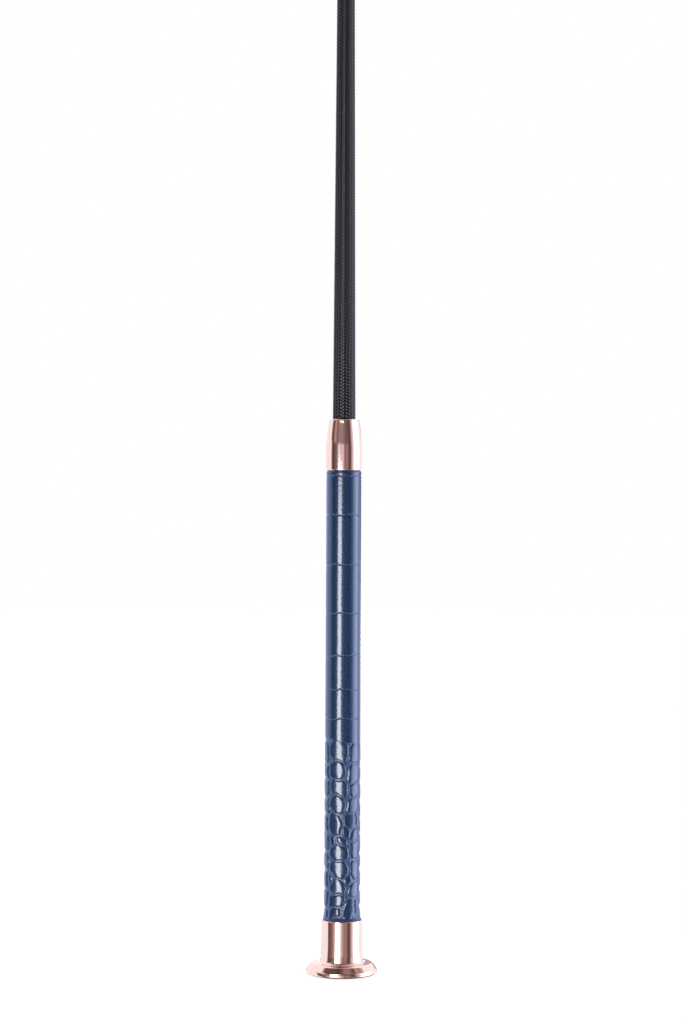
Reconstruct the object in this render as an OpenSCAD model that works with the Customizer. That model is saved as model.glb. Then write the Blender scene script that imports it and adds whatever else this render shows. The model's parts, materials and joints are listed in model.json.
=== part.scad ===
// Riding crop. A tapered fibreglass rod in a braided cover runs from a leather-covered grip to a
// sewn leather keeper. The grip sits between a metal collar and a mushroom end cap.
// Millimetres. The origin is the centre of the cap's flat end face, and +Z runs along the rod
// towards the keeper. The keeper's flat faces look along -Y and +Y.

/* [Overall] */
// Length from the cap's flat face to the end of the keeper
crop_l = 650; // [560:1:760]

/* [End cap] */
// Diameter of the mushroom flange
flange_d = 30.2; // [28:0.1:36]
// Diameter of the flat face at the very end
end_face_d = 24.6; // [20:0.1:26]
// Height of the rounded edge between the flat face and the rim
rim_round_h = 1.3; // [0.8:0.1:1.8]
// Height of the upright band at the rim
rim_band_h = 0.9; // [0.3:0.1:1.2]
// Height of the crest of the flange above the flat face
crest_h = 5; // [4.2:0.1:7]
// Diameter of the crest circle
crest_d = 25.2; // [23:0.1:26.5]
// Fullness of the shoulder between crest and rim: 1 is a straight bevel, 2 an ellipse
shoulder_n = 1.3; // [1.1:0.1:2]
// Radius of the fillet between the flange and the neck
fillet_r = 1.2; // [0.6:0.1:1.5]
// Diameter of the straight part of the neck
neck_d = 17.3; // [16.4:0.1:18]
// Extra diameter of the neck where its fillet starts
neck_flare = 0.9; // [0.2:0.1:1.6]
// Length of the straight part of the neck
neck_straight_l = 10; // [6:0.5:12]
// Height of the cap from its flat face to the leather
cap_h = 23; // [20:0.5:30]
// Height of the nose that stands up under the leather's edge
nose_h = 2.4; // [1:0.1:4]
// How far the nose lifts the leather's edge
nose_out = 0.7; // [0.3:0.05:0.8]
// Diameter of the blind socket for the handle tube
socket_d = 11; // [10:0.1:11.4]
// Thickness of metal under the socket
socket_floor = 7; // [5.5:0.5:10]

/* [Grip] */
// Length of the leather between the cap and the collar
grip_l = 190; // [150:1:230]
// Diameter over the leather at the cap
grip_d_low = 15.1; // [14.6:0.1:15.4]
// Diameter over the leather at the collar
grip_d_top = 14.8; // [14.4:0.1:15]
// How far the grip's radius dips at mid length
grip_waist = 0.05; // [0:0.05:0.25]
// Thickness of the leather
leather_t = 1.25; // [1:0.05:1.35]
// Softened edge at the leather's upper end
leather_edge = 0.35; // [0.1:0.05:0.5]
// Width of the butt seam along the leather
seam_gap = 0.5; // [0.3:0.05:0.8]
// Angle of the seam round the grip, from the +X side towards the front
seam_turn = 6; // [0:1:40]
// Distance between the seam's stitches
seam_pitch = 2.5; // [2:0.1:4]
// Diameter of the sewing thread
thread_d = 0.55; // [0.4:0.05:0.7]
// Depth of the embossed creases
crease_depth = 0.25; // [0.1:0.05:0.35]

/* [Collar] */
// Length of the collar
collar_l = 21.7; // [16:0.1:30]
// Largest diameter of the collar
collar_d = 15.5; // [15:0.1:16.4]
// Diameter at the collar's nose
collar_nose_d = 12.7; // [12:0.1:13.6]
// Length of the curved nose
collar_curve_l = 15; // [8:0.5:15]
// Rounded edge at both ends of the collar
collar_edge = 0.5; // [0.2:0.05:0.7]
// Diameter of the seat that takes the handle tube
collar_seat_d = 11.3; // [10.6:0.1:11.6]
// Depth of that seat
collar_seat_l = 11; // [6:0.5:14]

/* [Shaft] */
// Diameter of the braided cover where it leaves the collar
shaft_d = 9.5; // [8.6:0.1:9.8]
// Diameter of the braided cover at the tip
tip_d = 5.5; // [5:0.1:6.5]
// Thickness of the braided cover
braid_t = 0.9; // [0.6:0.05:1.2]
// Gap left for glue round the rod and at the tube's two ends
glue_gap = 0.05; // [0.03:0.01:0.1]

/* [Keeper] */
// Length of the flap beyond its flex line
keeper_l = 58; // [45:1:80]
// Width of the flap
keeper_w = 28; // [22:0.5:36]
// Thickness of each leather layer of the flap
ply_t = 1.4; // [1.1:0.05:1.8]
// Width of the flap at its flex line
keeper_neck_w = 9; // [7:0.5:11]
// Length over which the flap widens
keeper_flare_l = 16; // [12:1:20]
// Radius of the flap's outer corners
keeper_corner_r = 8; // [5:0.5:10]
// Distance of the stitch line from the flap's edge
keeper_inset = 2.4; // [2:0.1:3.5]
// Distance between the flap's stitches
keeper_pitch = 3.2; // [2.6:0.1:5]
// Length of the leather neck between the rod's tip and the flex line
neck_l = 5.5; // [5:0.1:9]
// Thickness of the leather tongues bound to the shaft
tongue_t = 1; // [0.7:0.05:1.3]
// Length of the tongues along the shaft
tongue_l = 14.5; // [10:0.5:24]
// Free play round the flap's rounded end
flex_gap = 0.35; // [0.3:0.05:0.5]
// Diameter of the binding thread
binding_d = 0.6; // [0.45:0.05:0.9]
// Length of each tongue that shows below the binding
tongue_show = 1.5; // [0.5:0.1:3]

/* [Hidden] */

$fn = 96;
small = 0.01;
far = 100;

// Stations along the rod
grip_z0 = cap_h;
grip_z1 = cap_h + grip_l;
seat_z = grip_z1 + collar_seat_l;
collar_z1 = grip_z1 + collar_l;
flex_z = crop_l - keeper_l;
tip_z = flex_z - neck_l;
bound_z0 = tip_z - tongue_l;

// Shares of the grip's length at which the embossed scales meet, counted from the cap
crease_shares = [0.447, 0.513, 0.588, 0.682, 0.791, 0.902, 0.988];
crease_r = 0.6;
stitch_slant = 30;
stitch_l = 2.2;
grip_steps = 10;

rose_gold = [0.91, 0.67, 0.58];
navy = [0.10, 0.16, 0.33];
black = [0.08, 0.08, 0.09];
near_black = [0.14, 0.14, 0.15];
glass_fibre = [0.86, 0.84, 0.74];
tube_grey = [0.35, 0.35, 0.37];

// Points of an elliptical arc in the radius and height plane
function arc(cr, cz, rr, rz, a0, a1, n) =
    [for (i = [0:n]) let (a = a0 + (a1 - a0) * i / n) [cr + rr * cos(a), cz + rz * sin(a)]];
// Points of a quarter superellipse from the outside in, fuller as n grows
function bulge(cr, cz, rr, rz, n, steps) =
    [for (i = [0:steps]) let (a = 90 * i / steps)
        [cr + rr * pow(cos(a), 2 / n), cz + rz * pow(sin(a), 2 / n)]];
function smooth(t) = t * t * (3 - 2 * t);
function reverse(p) = [for (i = [len(p) - 1:-1:0]) p[i]];

// Radius over the leather at height z, with a slight waist
function grip_r(z) = let (t = (z - grip_z0) / grip_l)
    (grip_d_low + (grip_d_top - grip_d_low) * t) / 2 - grip_waist * 4 * t * (1 - t);
function tube_r(z) = grip_r(z) - leather_t;

// Radius over the braid at height z: a straight taper from the collar to the tip
function shaft_r(z) = (shaft_d + (tip_d - shaft_d) * (z - collar_z1) / (tip_z - collar_z1)) / 2;
function rod_r(z) = shaft_r(max(z, seat_z)) - braid_t;
function tongue_r(z) = shaft_r(z) + tongue_t;

module end_cap() {
    neck_r = neck_d / 2;
    foot_r = neck_r + neck_flare / 2;
    rim_z = rim_round_h + rim_band_h;
    foot_z = crest_h + fillet_r;
    flare_z = cap_h - neck_straight_l;
    edge = 0.3;
    outline = concat(
        [[0, 0]],
        arc(end_face_d / 2, rim_round_h, (flange_d - end_face_d) / 2, rim_round_h, -90, 0, 10),
        bulge(crest_d / 2, rim_z, (flange_d - crest_d) / 2, crest_h - rim_z, shoulder_n, 16),
        arc(foot_r + fillet_r, foot_z, fillet_r, fillet_r, 270, 180, 8),
        [for (i = [1:10]) let (t = i / 10)
            [foot_r - (foot_r - neck_r) * (1 - (1 - t) * (1 - t)), foot_z + (flare_z - foot_z) * t]],
        arc(neck_r - edge, cap_h - edge, edge, edge, 0, 90, 4),
        [[tube_r(grip_z0) + nose_out, cap_h],
         [tube_r(cap_h + nose_h), cap_h + nose_h],
         [socket_d / 2, cap_h + nose_h],
         [socket_d / 2, socket_floor],
         [0, socket_floor]]);
    color(rose_gold) rotate_extrude() polygon(outline);
}

// The moulded tube that the leather is wrapped on, with a spigot at each end
module handle_tube() {
    shoulder_z = cap_h + nose_h;
    low_r = socket_d / 2 - glue_gap;
    top_r = collar_seat_d / 2 - glue_gap;
    bore_r = rod_r(0) + glue_gap;
    outside = [for (i = [0:grip_steps])
        let (z = shoulder_z + (grip_z1 - shoulder_z) * i / grip_steps) [tube_r(z), z]];
    color(tube_grey) rotate_extrude() polygon(concat(
        [[bore_r, socket_floor], [low_r, socket_floor], [low_r, shoulder_z]],
        outside,
        [[top_r, grip_z1], [top_r, seat_z], [bore_r, seat_z]]));
}

module core_rod() {
    color(glass_fibre) rotate_extrude() polygon([
        [0, socket_floor], [rod_r(0), socket_floor], [rod_r(seat_z), seat_z],
        [rod_r(tip_z), tip_z], [0, tip_z]]);
}

// One crease of the embossed skin: a shallow groove round the grip
module skin_crease(z) {
    rotate_extrude() translate([grip_r(z) + crease_r - crease_depth, z])
        circle(r = crease_r, $fn = 32);
}

// The leather is a rolled sheet: its long edges meet in a butt seam
module grip_leather() {
    lip_z = grip_z0 + nose_h;
    body_z = [for (i = [0:grip_steps]) lip_z + (grip_z1 - lip_z) * i / grip_steps];
    inside = concat([[tube_r(grip_z0) + nose_out, grip_z0]], [for (z = body_z) [tube_r(z), z]]);
    outside = concat(
        [[grip_r(grip_z0) + nose_out, grip_z0]],
        [for (i = [0:grip_steps - 1]) [grip_r(body_z[i]), body_z[i]]],
        [[grip_r(grip_z1), grip_z1 - leather_edge], [grip_r(grip_z1) - leather_edge, grip_z1]]);
    color(navy) difference() {
        rotate_extrude() polygon(concat(outside, reverse(inside)));
        rotate([0, 0, -seam_turn]) translate([0, -seam_gap / 2, 0])
            cube([far, seam_gap, crop_l]);
        for (share = crease_shares) skin_crease(grip_z0 + grip_l * share);
    }
}

// A short length of thread along X with round ends
module stitch(l, d) {
    rotate([0, 90, 0]) cylinder(d = d, h = l, center = true, $fn = 16);
    for (s = [-1, 1]) translate([s * l / 2, 0, 0]) sphere(d = d, $fn = 16);
}

module grip_seam_stitches() {
    first_z = grip_z0 + nose_h + seam_pitch / 2;
    count = floor((grip_z1 - first_z - seam_pitch / 2) / seam_pitch);
    color(near_black) for (i = [0:count]) {
        z = first_z + i * seam_pitch;
        rotate([0, 0, -seam_turn]) translate([grip_r(z), 0, z])
            rotate([stitch_slant, 0, 0]) rotate([0, 0, 90]) stitch(stitch_l, thread_d);
    }
}

module collar() {
    outer_r = collar_d / 2;
    nose_r = collar_nose_d / 2;
    curve_z = collar_z1 - collar_curve_l;
    drop = outer_r - nose_r;
    // Radius of the long arc that falls from the widest part to the nose
    bow_r = (collar_curve_l * collar_curve_l + drop * drop) / (2 * drop);
    bow_a = asin((collar_curve_l - collar_edge) / bow_r);
    bow_end_r = outer_r - bow_r * (1 - cos(bow_a));
    bore_r = shaft_r(seat_z) + glue_gap;
    color(rose_gold) rotate_extrude() polygon(concat(
        arc(outer_r - collar_edge, grip_z1 + collar_edge, collar_edge, collar_edge, -90, 0, 6),
        arc(outer_r - bow_r, curve_z, bow_r, bow_r, 0, bow_a, 12),
        arc(bow_end_r - collar_edge, collar_z1 - collar_edge, collar_edge, collar_edge, 0, 90, 6),
        [[bore_r, collar_z1], [bore_r, seat_z], [collar_seat_d / 2, seat_z],
         [collar_seat_d / 2, grip_z1]]));
}

module braided_cover() {
    color(black) rotate_extrude() polygon([
        [rod_r(seat_z), seat_z], [shaft_r(seat_z), seat_z],
        [shaft_r(tip_z), tip_z], [rod_r(tip_z), tip_z]]);
}

// Half space in front of (side -1) or behind (side 1) the keeper's middle plane
module half(side) {
    translate([-far / 2, side > 0 ? 0 : -far, 0]) cube([far, far, crop_l]);
}

// Both tongues as one body: a shell round the shaft that flattens into the leather neck
module tongue_pair() {
    low_r = tongue_r(tip_z);
    neck_steps = 10;
    flank = [for (i = [0:neck_steps]) let (t = i / neck_steps)
        [low_r + (ply_t - low_r) * smooth(t), tip_z + (neck_l - 1.5) * t]];
    difference() {
        union() {
            rotate_extrude() polygon([
                [shaft_r(bound_z0), bound_z0], [tongue_r(bound_z0), bound_z0],
                [low_r, tip_z], [shaft_r(tip_z), tip_z]]);
            intersection() {
                translate([0, 0, tip_z])
                    cylinder(h = neck_l, r1 = low_r, r2 = keeper_neck_w / 2);
                rotate([90, 0, 90]) linear_extrude(height = far, center = true) polygon(concat(
                    flank, [[ply_t, flex_z], [-ply_t, flex_z]],
                    reverse([for (p = flank) [-p[0], p[1]]])));
            }
        }
        translate([0, 0, flex_z]) rotate([0, 90, 0])
            cylinder(r = ply_t + flex_gap, h = far, center = true);
    }
}

module keeper_tongue_front() {
    color(near_black) intersection() { tongue_pair(); half(-1); }
}

module keeper_tongue_back() {
    color(near_black) intersection() { tongue_pair(); half(1); }
}

// Close turns of thread over both tongues, on a thin bed of glue
module tip_binding() {
    bed = binding_d / 2;
    z0 = bound_z0 + tongue_show;
    turns = floor((tip_z - z0) / binding_d);
    top = z0 + turns * binding_d;
    color(black) rotate_extrude() union() {
        polygon([[tongue_r(z0), z0], [tongue_r(z0) + bed, z0],
            [tongue_r(top) + bed, top], [tongue_r(top), top]]);
        for (i = [0:turns - 1]) {
            z = z0 + (i + 0.5) * binding_d;
            translate([tongue_r(z) + bed + 2 * small, z]) circle(d = binding_d, $fn = 24);
        }
    }
}

// Half width of the flap at distance s beyond the flex line
function flap_hw(s) =
    s > keeper_l - keeper_corner_r
        ? keeper_w / 2 - keeper_corner_r
            + sqrt(max(0, pow(keeper_corner_r, 2) - pow(s - keeper_l + keeper_corner_r, 2)))
        : keeper_neck_w / 2 + (keeper_w - keeper_neck_w) / 2 * smooth(min(1, s / keeper_flare_l));

flare_steps = 12;
flap_side = concat(
    [for (i = [0:flare_steps]) let (s = keeper_flare_l * i / flare_steps) [flap_hw(s), s]],
    arc(keeper_w / 2 - keeper_corner_r, keeper_l - keeper_corner_r,
        keeper_corner_r, keeper_corner_r, 0, 90, 12));

// Both layers of the flap as one body, with a rounded end about the flex line
module flap_pair() {
    translate([0, 0, flex_z]) {
        rotate([90, 0, 0]) linear_extrude(height = 2 * ply_t, center = true)
            polygon(concat(flap_side, reverse([for (p = flap_side) [-p[0], p[1]]])));
        rotate([0, 90, 0]) cylinder(r = ply_t, h = keeper_neck_w, center = true);
    }
}

module keeper_leaf_front() {
    color(near_black) intersection() { flap_pair(); half(-1); }
}

module keeper_leaf_back() {
    color(near_black) intersection() { flap_pair(); half(1); }
}

// A stitch on each face of the flap at [x, s], turned by a from the flap's width
module flap_stitch(x, s, a) {
    for (side = [-1, 1]) translate([x, side * ply_t, flex_z + s])
        rotate([0, -a, 0]) stitch(keeper_pitch * 0.55, thread_d);
}

module keeper_stitches() {
    turn_r = keeper_corner_r - keeper_inset;
    side_s0 = 5;
    side_l = keeper_l - keeper_corner_r - side_s0;
    side_n = round(side_l / keeper_pitch);
    corner_n = max(2, round(turn_r * PI / 2 / keeper_pitch));
    end_l = keeper_w - 2 * keeper_corner_r;
    end_n = max(1, round(end_l / keeper_pitch));
    color(near_black) {
        for (m = [-1, 1]) {
            for (i = [0:side_n - 1]) {
                s = side_s0 + side_l * (i + 0.5) / side_n;
                slope = flap_hw(s + 0.5) - flap_hw(s - 0.5);
                flap_stitch(m * (flap_hw(s) - keeper_inset * sqrt(1 + slope * slope)), s,
                    m > 0 ? atan2(1, slope) : -atan2(1, slope));
            }
            for (i = [0:corner_n - 1]) {
                a = 90 * (i + 0.5) / corner_n;
                flap_stitch(m * (keeper_w / 2 - keeper_corner_r + turn_r * cos(a)),
                    keeper_l - keeper_corner_r + turn_r * sin(a), m > 0 ? 90 + a : -90 - a);
            }
        }
        for (i = [0:end_n - 1])
            flap_stitch(-end_l / 2 + end_l * (i + 0.5) / end_n, keeper_l - keeper_inset, 0);
    }
}

end_cap();
handle_tube();
core_rod();
grip_leather();
grip_seam_stitches();
collar();
braided_cover();
keeper_tongue_front();
keeper_tongue_back();
tip_binding();
keeper_leaf_front();
keeper_leaf_back();
keeper_stitches();
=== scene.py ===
# %% [markdown]
# # A riding crop, piece by piece
#
# The crop has five parts that the eye meets in turn: a plated mushroom cap, an embossed leather
# grip, a plated collar, a braided shaft and a sewn leather keeper. Each gets its own step below.
# Lengths are in metres. The solid model is loaded first and gives every height along the shaft,
# so nothing made here can drift away from it.

# %% Load the solid model
import json
import math

import bmesh
import bpy
import numpy as np
from mathutils import Matrix, Vector


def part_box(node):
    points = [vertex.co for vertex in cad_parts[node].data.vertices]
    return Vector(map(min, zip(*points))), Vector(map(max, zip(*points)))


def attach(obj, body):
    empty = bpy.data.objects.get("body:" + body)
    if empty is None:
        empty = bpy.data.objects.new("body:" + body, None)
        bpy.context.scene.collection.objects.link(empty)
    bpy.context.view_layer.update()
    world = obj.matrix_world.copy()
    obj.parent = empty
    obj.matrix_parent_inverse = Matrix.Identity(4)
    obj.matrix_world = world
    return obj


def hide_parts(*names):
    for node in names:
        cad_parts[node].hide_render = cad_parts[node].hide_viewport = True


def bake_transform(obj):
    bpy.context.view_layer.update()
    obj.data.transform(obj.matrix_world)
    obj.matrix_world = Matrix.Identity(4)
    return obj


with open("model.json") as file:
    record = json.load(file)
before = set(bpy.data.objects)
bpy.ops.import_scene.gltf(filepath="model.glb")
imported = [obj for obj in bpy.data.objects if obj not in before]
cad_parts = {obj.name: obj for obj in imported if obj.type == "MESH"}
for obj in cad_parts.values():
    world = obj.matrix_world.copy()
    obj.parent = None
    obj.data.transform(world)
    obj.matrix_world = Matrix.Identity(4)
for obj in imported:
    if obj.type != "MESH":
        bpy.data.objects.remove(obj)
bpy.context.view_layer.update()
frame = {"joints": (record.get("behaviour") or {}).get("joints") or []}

MM = 0.001
_, cap_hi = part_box("end_cap")
leather_lo, leather_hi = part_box("grip_leather")
collar_lo, collar_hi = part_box("collar")
_, braid_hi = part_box("braided_cover")
tongue_lo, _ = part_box("keeper_tongue_front")
tip_lo, tip_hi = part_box("tip_binding")
_, leaf_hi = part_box("keeper_leaf_front")
flex_z = frame["joints"][0]["pos_m"][2]

# %% [markdown]
# ## The studio
#
# Polished metal has no colour pattern of its own: it shows the room. The room here is a white
# tent with a dark front, where the camera stands, a cool lamp on the right and a few cards. It is
# painted on the world by compass direction, at four heights with soft steps between them, which
# costs no lamps and gives clean edges in the metal. The camera itself sees plain white.

# %% Node helpers
def add_node(tree, kind, **inputs):
    """A new node of this kind, each named input set to a plain value or linked to a socket."""
    node = tree.nodes.new("ShaderNode" + kind)
    for name, value in inputs.items():
        feed(tree, node.inputs[name.replace("_", " ")], value)
    return node


def feed(tree, socket, value):
    """Links a socket to another one, or sets it to a plain value."""
    if isinstance(value, bpy.types.NodeSocket):
        tree.links.new(value, socket)
    else:
        socket.default_value = value


def math_node(tree, operation, *inputs):
    """A Math node whose inputs are sockets or plain numbers."""
    node = add_node(tree, "Math")
    node.operation = operation
    for socket, value in zip(node.inputs, inputs):
        feed(tree, socket, value)
    return node.outputs[0]


def mix_node(tree, factor, first, second, data_type="FLOAT", blend="MIX"):
    """Mix of two numbers, or of two colours, each a plain value or a socket."""
    node = add_node(tree, "Mix")
    node.data_type = data_type
    node.blend_type = blend
    for name, value in (("Factor", factor), ("A", first), ("B", second)):
        feed(tree, node.inputs[name], value)
    return node.outputs["Result"]


def mix_colour(tree, factor, first, second, blend="MIX"):
    """Mix of two colours, each a plain (red, green, blue) or a socket."""
    pair = [(*c, 1.0) if isinstance(c, tuple) else c for c in (first, second)]
    return mix_node(tree, factor, *pair, "RGBA", blend)


def step_between(tree, value, low, high):
    """0 below low, 1 above high, smooth between."""
    node = add_node(tree, "MapRange", Value=value, From_Min=low, From_Max=high)
    node.interpolation_type = "SMOOTHSTEP"
    return node.outputs["Result"]


def window(tree, value, low, high, soft):
    """1 between low and high with soft edges, 0 outside."""
    begin = step_between(tree, value, low - soft, low + soft)
    end = step_between(tree, value, high - soft, high + soft)
    return math_node(tree, "MULTIPLY", begin, math_node(tree, "SUBTRACT", 1.0, end))


def object_coords(tree):
    return add_node(tree, "TexCoord").outputs["Object"]


# %% Colours of the room
LEFT_TENT = (1.05, 1.12, 1.17)
RIGHT_TENT = (1.05, 1.19, 1.27)
# Four heights of the room. Compass stops in degrees from the camera, positive to the right, with
# the room's colour there; before the first stop and after the last the colour stays the same.
# Below the handle, as the cap's neck sees it
LOW_STOPS = [
    (-87, LEFT_TENT), (-82, (0.16, 0.115, 0.11)), (-74, (0.15, 0.1, 0.1)),
    (-67, (0.18, 0.125, 0.13)), (-60, (0.24, 0.17, 0.175)), (-54, (0.32, 0.23, 0.24)),
    (-48, (0.45, 0.36, 0.36)), (-42, (0.63, 0.58, 0.56)), (-36, (0.9, 0.95, 0.97)),
    (-12, (1.1, 1.2, 1.2)), (-6, (0.93, 1.0, 1.0)), (-1, (0.64, 0.6, 0.57)),
    (5, (0.49, 0.41, 0.39)), (10, (0.38, 0.29, 0.265)), (16, (0.3, 0.22, 0.19)),
    (22, (0.4, 0.33, 0.3)), (28, (0.26, 0.19, 0.185)), (34, (0.17, 0.115, 0.115)),
    (46, (0.12, 0.077, 0.07)), (51, (0.5, 0.42, 0.42)), (58, (0.65, 0.58, 0.58)),
    (65, (0.8, 0.8, 0.82)), (71, RIGHT_TENT),
]
# The wall level with the collar
WALL_STOPS = [
    (-90, LEFT_TENT), (-85, (0.6, 0.6, 0.6)), (-80, (0.15, 0.115, 0.115)),
    (-69, (0.09, 0.06, 0.06)), (-62, (0.16, 0.115, 0.13)), (-54, (0.19, 0.14, 0.165)),
    (-47, (0.22, 0.18, 0.21)), (-41, (0.38, 0.35, 0.4)), (-35, (0.78, 0.82, 0.89)),
    (-27, (0.93, 0.98, 1.06)), (-20, (0.66, 0.68, 0.72)), (-15, (0.56, 0.54, 0.58)),
    (-8, (0.92, 0.83, 0.92)), (-2, (0.67, 0.54, 0.6)), (4, (0.33, 0.2, 0.24)),
    (11, (0.3, 0.19, 0.22)), (17, (0.33, 0.265, 0.28)), (24, (0.3, 0.25, 0.26)),
    (30, (0.16, 0.1, 0.11)), (37, (0.13, 0.078, 0.08)), (44, (0.14, 0.09, 0.09)),
    (50, (0.54, 0.48, 0.51)), (57, (0.73, 0.7, 0.74)), (65, (0.95, 1.02, 1.08)),
    (71, RIGHT_TENT),
]
# Over the camera, as the collar's nose sees it
HIGH_STOPS = [
    (-94, LEFT_TENT), (-87, (0.22, 0.15, 0.15)), (-79, (0.15, 0.08, 0.06)),
    (-72, (0.16, 0.09, 0.07)), (-63, (0.52, 0.36, 0.31)), (-56, (0.5, 0.34, 0.29)),
    (-48, (0.3, 0.2, 0.17)), (-42, (0.19, 0.13, 0.12)), (-34, (0.33, 0.29, 0.31)),
    (-13, (0.32, 0.29, 0.32)), (1, (0.25, 0.21, 0.2)), (8, (0.19, 0.14, 0.14)),
    (23, (0.17, 0.13, 0.14)), (37, (0.1, 0.06, 0.06)), (41, (0.12, 0.08, 0.08)),
    (45, (0.39, 0.3, 0.3)), (60, (0.87, 0.92, 0.94)), (68, RIGHT_TENT),
]
# Nearly overhead, as the cap's shoulder sees it
TOP_STOPS = [
    (-90, LEFT_TENT), (-85, (0.6, 0.55, 0.5)), (-80, (0.15, 0.1, 0.09)),
    (-50, (0.14, 0.095, 0.09)), (-32, (0.12, 0.085, 0.08)), (-14, (0.08, 0.055, 0.05)),
    (3, (0.18, 0.13, 0.12)), (20, (0.33, 0.25, 0.235)), (42, (0.3, 0.22, 0.21)),
    (52, (0.17, 0.1, 0.1)), (62, (0.16, 0.1, 0.095)), (69, (0.55, 0.45, 0.45)),
    (77, (0.37, 0.28, 0.26)), (92, (0.53, 0.4, 0.37)), (99, RIGHT_TENT),
]
BLACK = (0.0, 0.0, 0.0)
# A cool lamp on the right, added to the room
SIDE_HEIGHT = (-35, 22)
SIDE_STOPS = [
    (64, BLACK), (69, (0.9, 1.2, 1.7)), (77, (2.0, 2.0, 2.7)), (86, (2.3, 2.2, 2.9)),
    (95, (3.4, 3.4, 4.4)), (103, (3.0, 3.1, 4.2)), (113, BLACK),
]
# Heights where one painted wall gives way to the next
LOW_TO_WALL = (-0.8, 0.4)
WALL_TO_HIGH = (6.5, 8.5)
HIGH_TO_TOP = (30.0, 34.0)
TOP_TO_TENT = (83.0, 89.0)
# Cards hung in the room: compass window, height window, both softnesses and colour
CARDS = [
    ((-90, -64), (21, 38), 3.0, 2.0, LEFT_TENT),
    ((-41, -4), (20.5, 26), 1.5, 0.5, (3.0, 2.9, 2.8)),
    ((-52, -12), (-68, -14), 3.0, 3.0, (1.0, 1.05, 1.05)),
    ((150, 190), (3, 14.5), 5.0, 1.5, (0.59, 0.42, 0.46)),
    ((100, 158), (-57, -28), 6.0, 4.0, (0.62, 0.56, 0.57)),
]
# The same on both sides of straight behind: two dark flags, the narrow lamp between them, the
# floor behind the crop and the floor all round it
BEHIND = [
    ((156, 168), (-13, 2), 2.0, 2.0, (0.25, 0.25, 0.27)),
    ((172, 190), (-13, 2), 1.0, 2.0, (5.0, 5.2, 5.5)),
    ((158, 190), (-90, -17), 6.0, 2.0, (0.16, 0.10, 0.095)),
    ((60, 190), (-90, -54), 6.0, 4.0, (0.22, 0.15, 0.15)),
]
print("%d cards hang in the room" % len(CARDS + BEHIND))


# %% Paint the room
def compass(tree, share, stops):
    """The colour of one height of the room all the way round."""
    node = add_node(tree, "ValToRGB", Fac=share)
    elements = node.color_ramp.elements
    elements.remove(elements[-1])
    for i, (azimuth, colour) in enumerate(stops):
        position = (azimuth + 180) / 360
        element = elements[0] if i == 0 else elements.new(position)
        element.position = position
        element.color = (*colour, 1.0)
    return node.outputs["Color"]


def hang(tree, room, azimuth, height, cards):
    """The room with cards in it, each filling a window of compass direction and height."""
    for azimuths, heights, soft_side, soft_end, colour in cards:
        across = window(tree, azimuth, *azimuths, soft_side)
        upright = window(tree, height, *heights, soft_end)
        room = mix_colour(tree, math_node(tree, "MULTIPLY", across, upright), room, colour)
    return room


def build_world():
    world = bpy.data.worlds.new("white_tent")
    world.use_nodes = True
    tree = world.node_tree
    tree.nodes.clear()
    direction = add_node(tree, "TexCoord").outputs["Generated"]
    split = add_node(tree, "SeparateXYZ", Vector=direction)
    toward_camera = math_node(tree, "MULTIPLY", split.outputs["Y"], -1.0)
    azimuth = math_node(tree, "DEGREES", math_node(tree, "ARCTAN2", split.outputs["X"], toward_camera))
    height = math_node(tree, "DEGREES", math_node(tree, "ARCSINE", split.outputs["Z"]))

    share = math_node(tree, "DIVIDE", math_node(tree, "ADD", azimuth, 180.0), 360.0)
    low, wall, high, top, side = (compass(tree, share, stops) for stops in (
        LOW_STOPS, WALL_STOPS, HIGH_STOPS, TOP_STOPS, SIDE_STOPS))
    room = low
    for limits, above in ((LOW_TO_WALL, wall), (WALL_TO_HIGH, high), (HIGH_TO_TOP, top),
                          (TOP_TO_TENT, LEFT_TENT)):
        room = mix_colour(tree, step_between(tree, height, *limits), room, above)
    room = mix_colour(tree, window(tree, height, *SIDE_HEIGHT, 8.0), room, side, "ADD")
    room = hang(tree, room, azimuth, height, CARDS)
    room = hang(tree, room, math_node(tree, "ABSOLUTE", azimuth), height, BEHIND)

    seen = add_node(tree, "LightPath").outputs["Is Camera Ray"]
    tent = add_node(tree, "Background", Color=room)
    white = add_node(tree, "Background", Color=(1, 1, 1, 1))
    mix = add_node(tree, "MixShader", Fac=seen)
    tree.links.new(tent.outputs[0], mix.inputs[1])
    tree.links.new(white.outputs[0], mix.inputs[2])
    add_node(tree, "OutputWorld", Surface=mix.outputs[0])
    world.cycles.sampling_method = "MANUAL"
    world.cycles.sample_map_resolution = 1024
    return world


def add_object(name, data):
    """An object at the origin that holds this mesh, lamp or camera."""
    holder = bpy.data.objects.new(name, data)
    scene.collection.objects.link(holder)
    return holder


scene = bpy.context.scene
scene.world = build_world()
scene.view_settings.view_transform = "Standard"
print("world:", scene.world.name)

# %% The strip lamp
KEY_AZIMUTH = math.radians(-24.4)
KEY_DISTANCE = 0.5
KEY_WIDTH = 0.20
KEY_TOP = 0.221
KEY_BOTTOM = -0.20
KEY_WATTS = 2.95
KEY_COLOUR = (1.0, 0.93, 0.88)


def build_key():
    """A tall strip lamp left of the camera, which the camera itself doesn't see."""
    light = bpy.data.lights.new("strip_lamp", "AREA")
    light.shape = "RECTANGLE"
    light.size = KEY_WIDTH
    light.size_y = KEY_TOP - KEY_BOTTOM
    light.energy = KEY_WATTS
    light.color = KEY_COLOUR
    lamp = add_object("strip_lamp", light)
    toward = Vector((math.sin(KEY_AZIMUTH), -math.cos(KEY_AZIMUTH), 0))
    lamp.location = toward * KEY_DISTANCE + Vector((0, 0, (KEY_TOP + KEY_BOTTOM) / 2))
    lamp.rotation_euler = toward.to_track_quat("Z", "Y").to_euler()
    lamp.visible_camera = False


build_key()
print("strip lamp: %.0f mm wide" % (KEY_WIDTH / MM))

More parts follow.
